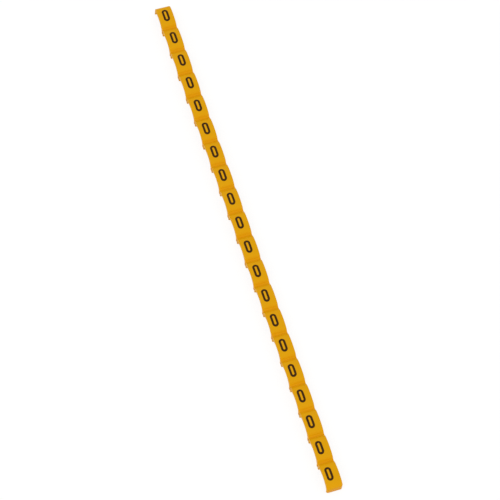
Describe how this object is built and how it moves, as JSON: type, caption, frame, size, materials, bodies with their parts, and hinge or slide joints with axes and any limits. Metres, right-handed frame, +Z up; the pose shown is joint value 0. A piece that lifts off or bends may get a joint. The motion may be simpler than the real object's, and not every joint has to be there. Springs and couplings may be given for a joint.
{
  "type": "cable marker strip",
  "caption": "Moulded stick of small clip-on cable markers: crowned label faces, an arched wire channel between two lipped legs under each, and thin break-off webs between neighbours.",
  "frame": {"origin": "middle of the stick, on the plane that its feet rest on", "axes": "+Y along the stick, towards the top of the characters; +X across the stick, along a wire held in a channel; +Z up, out of the label faces"},
  "size_m": [0.0024, 0.0808, 0.0019],
  "materials": {
    "yellow_plastic": "smooth moulded polyamide with a satin sheen",
    "printed_ink": "matt brown-black ink"
  },
  "bodies": {
    "root": {"marker_strip": "yellow_plastic"}
  },
  "joints": []
}
